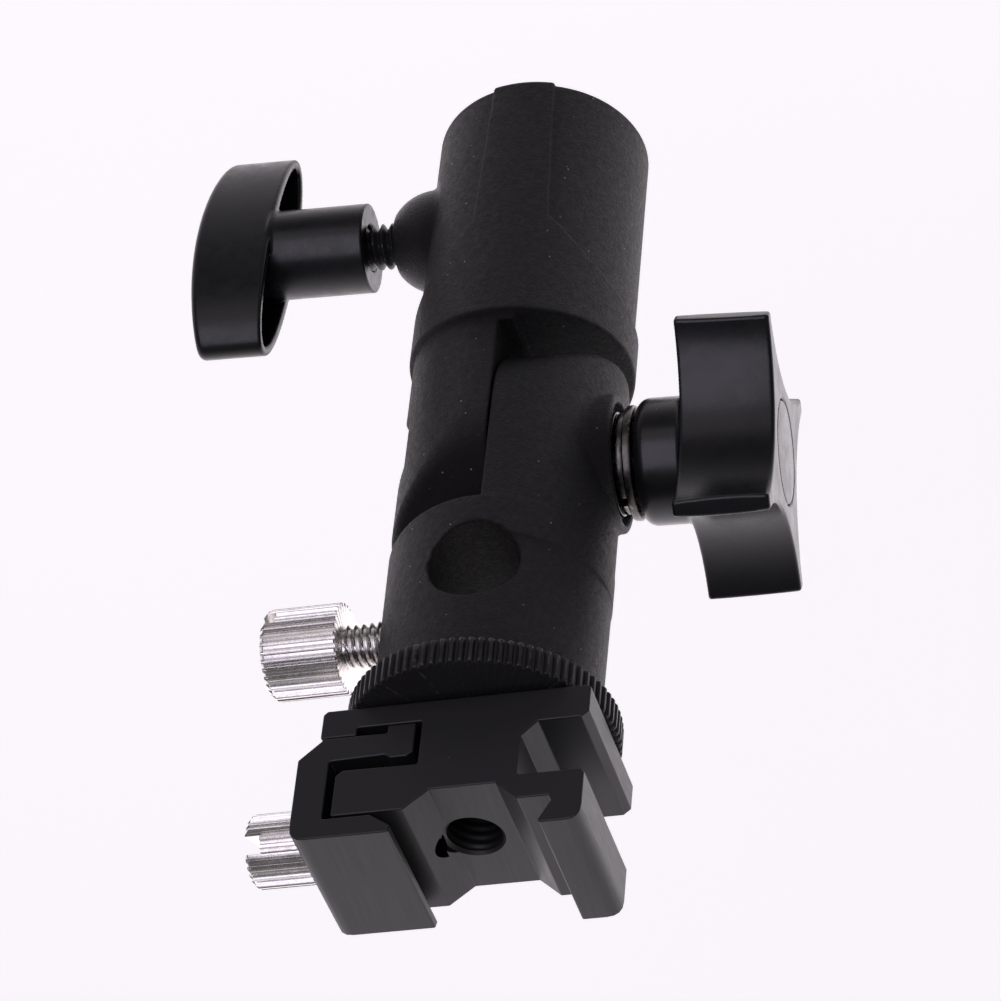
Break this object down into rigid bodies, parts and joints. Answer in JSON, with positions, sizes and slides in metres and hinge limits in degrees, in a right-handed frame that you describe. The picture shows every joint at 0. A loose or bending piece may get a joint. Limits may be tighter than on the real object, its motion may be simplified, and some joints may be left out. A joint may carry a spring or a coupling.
{
  "type": "umbrella swivel bracket",
  "caption": "Tilting lamp-stand bracket: a round stand socket with a wing lock knob, a star-knob tilt joint, an umbrella shaft hole with thumb screw and a clamping flash shoe on top.",
  "frame": {"origin": "centre of the stand socket's open end", "axes": "+Z along the socket's axis, up to the flash shoe; X along the tilt axis, with the star knob on -X and the thumb screws on +X; the umbrella hole runs along Y"},
  "size_m": [0.0806, 0.0332, 0.1229],
  "materials": {
    "casting": "cast metal with a matt black powder coat of fine sandy grain",
    "gloss_knob": "glossy black moulded plastic",
    "wing_knob": "semi-gloss black moulded plastic",
    "anodised": "satin black anodised extrusion with fine drawing lines",
    "nickel": "nickel plate, slightly dulled, dark in the grooves",
    "black_steel": "blackened machined steel",
    "dark_steel": "dark plated steel with bright rubbed rims",
    "plain_steel": "plain machined steel",
    "brass": "turned brass",
    "fibre": "brown-black pressed fibre",
    "nylon": "natural nylon"
  },
  "bodies": {
    "socket": {"socket_body": "casting", "tilt_bolt": "plain_steel", "lug_friction_disc": "fibre"},
    "upper": {"upper_body": "casting", "shoe_stud": "plain_steel", "tilt_inner_washer": "dark_steel", "tilt_spring_washer": "dark_steel"},
    "tilt_washer": {"tilt_flat_washer": "dark_steel"},
    "star_knob": {"tilt_knob": "gloss_knob", "tilt_knob_insert": "brass", "tilt_knob_cap": "gloss_knob"},
    "lock_pad": {"stand_lock_pad": "brass"},
    "lock_knob": {"stand_lock_knob": "wing_knob", "stand_lock_screw": "black_steel"},
    "umbrella_tip": {"umbrella_screw_tip": "nylon"},
    "umbrella_thumb_screw": {"umbrella_screw": "nickel"},
    "ring": {"locking_ring": "black_steel"},
    "shoe": {"shoe_block": "anodised"},
    "jaw": {"shoe_jaw": "anodised", "shoe_clamp_clip": "plain_steel"},
    "clamp_screw": {"shoe_clamp_screw": "nickel"}
  },
  "joints": [
    {"name": "tilt", "type": "hinge", "parent": "socket", "child": "upper", "pos_m": [0, 0, 0.0558], "axis": [1, 0, 0], "range_deg": [-85, 85]},
    {"name": "tilt_washer_slide", "type": "slide", "parent": "socket", "child": "tilt_washer", "axis": [-1, 0, 0], "range_m": [0, 0.0025]},
    {"name": "star_knob_turn", "type": "hinge", "parent": "tilt_washer", "child": "star_knob", "pos_m": [-0.01665, 0, 0.0558], "axis": [-1, 0, 0], "range_deg": [0, 721]},
    {"name": "lock_pad_slide", "type": "slide", "parent": "socket", "child": "lock_pad", "axis": [1, 0, 0], "range_m": [-0.003, 0.002]},
    {"name": "lock_knob_turn", "type": "hinge", "parent": "lock_pad", "child": "lock_knob", "pos_m": [0.0114, 0, 0.0142], "axis": [1, 0, 0], "range_deg": [-852, 568]},
    {"name": "umbrella_tip_slide", "type": "slide", "parent": "upper", "child": "umbrella_tip", "axis": [0.9981, 0.061, 0], "range_m": [-0.0043, 0.002]},
    {"name": "umbrella_screw_turn", "type": "hinge", "parent": "umbrella_tip", "child": "umbrella_thumb_screw", "pos_m": [0.00858, 0.00052, 0.0817], "axis": [0.9981, 0.061, 0], "range_deg": [-1549, 721]},
    {"name": "ring_turn", "type": "hinge", "parent": "upper", "child": "ring", "pos_m": [0, 0, 0.0952], "axis": [0, 0, 1], "range_deg": [-90, 0]},
    {"name": "shoe_turn", "type": "hinge", "parent": "upper", "child": "shoe", "pos_m": [0, 0, 0.0991], "axis": [0, 0, 1], "range_deg": [-180, 180]},
    {"name": "jaw_slide", "type": "slide", "parent": "shoe", "child": "jaw", "axis": [0.9977, 0.068, 0], "range_m": [-0.0004, 0.0034]},
    {"name": "clamp_screw_turn", "type": "hinge", "parent": "jaw", "child": "clamp_screw", "pos_m": [-0.00003, 0.0004, 0.1111], "axis": [0.9977, 0.068, 0], "range_deg": [-181, 1531]}
  ],
  "couplings": [
    {"joint": "star_knob_turn", "follows": "tilt_washer_slide", "rad_per_m": 5026.5},
    {"joint": "lock_knob_turn", "follows": "lock_pad_slide", "rad_per_m": 4947.4},
    {"joint": "umbrella_screw_turn", "follows": "umbrella_tip_slide", "rad_per_m": 6283.2},
    {"joint": "clamp_screw_turn", "follows": "jaw_slide", "rad_per_m": 7854}
  ]
}
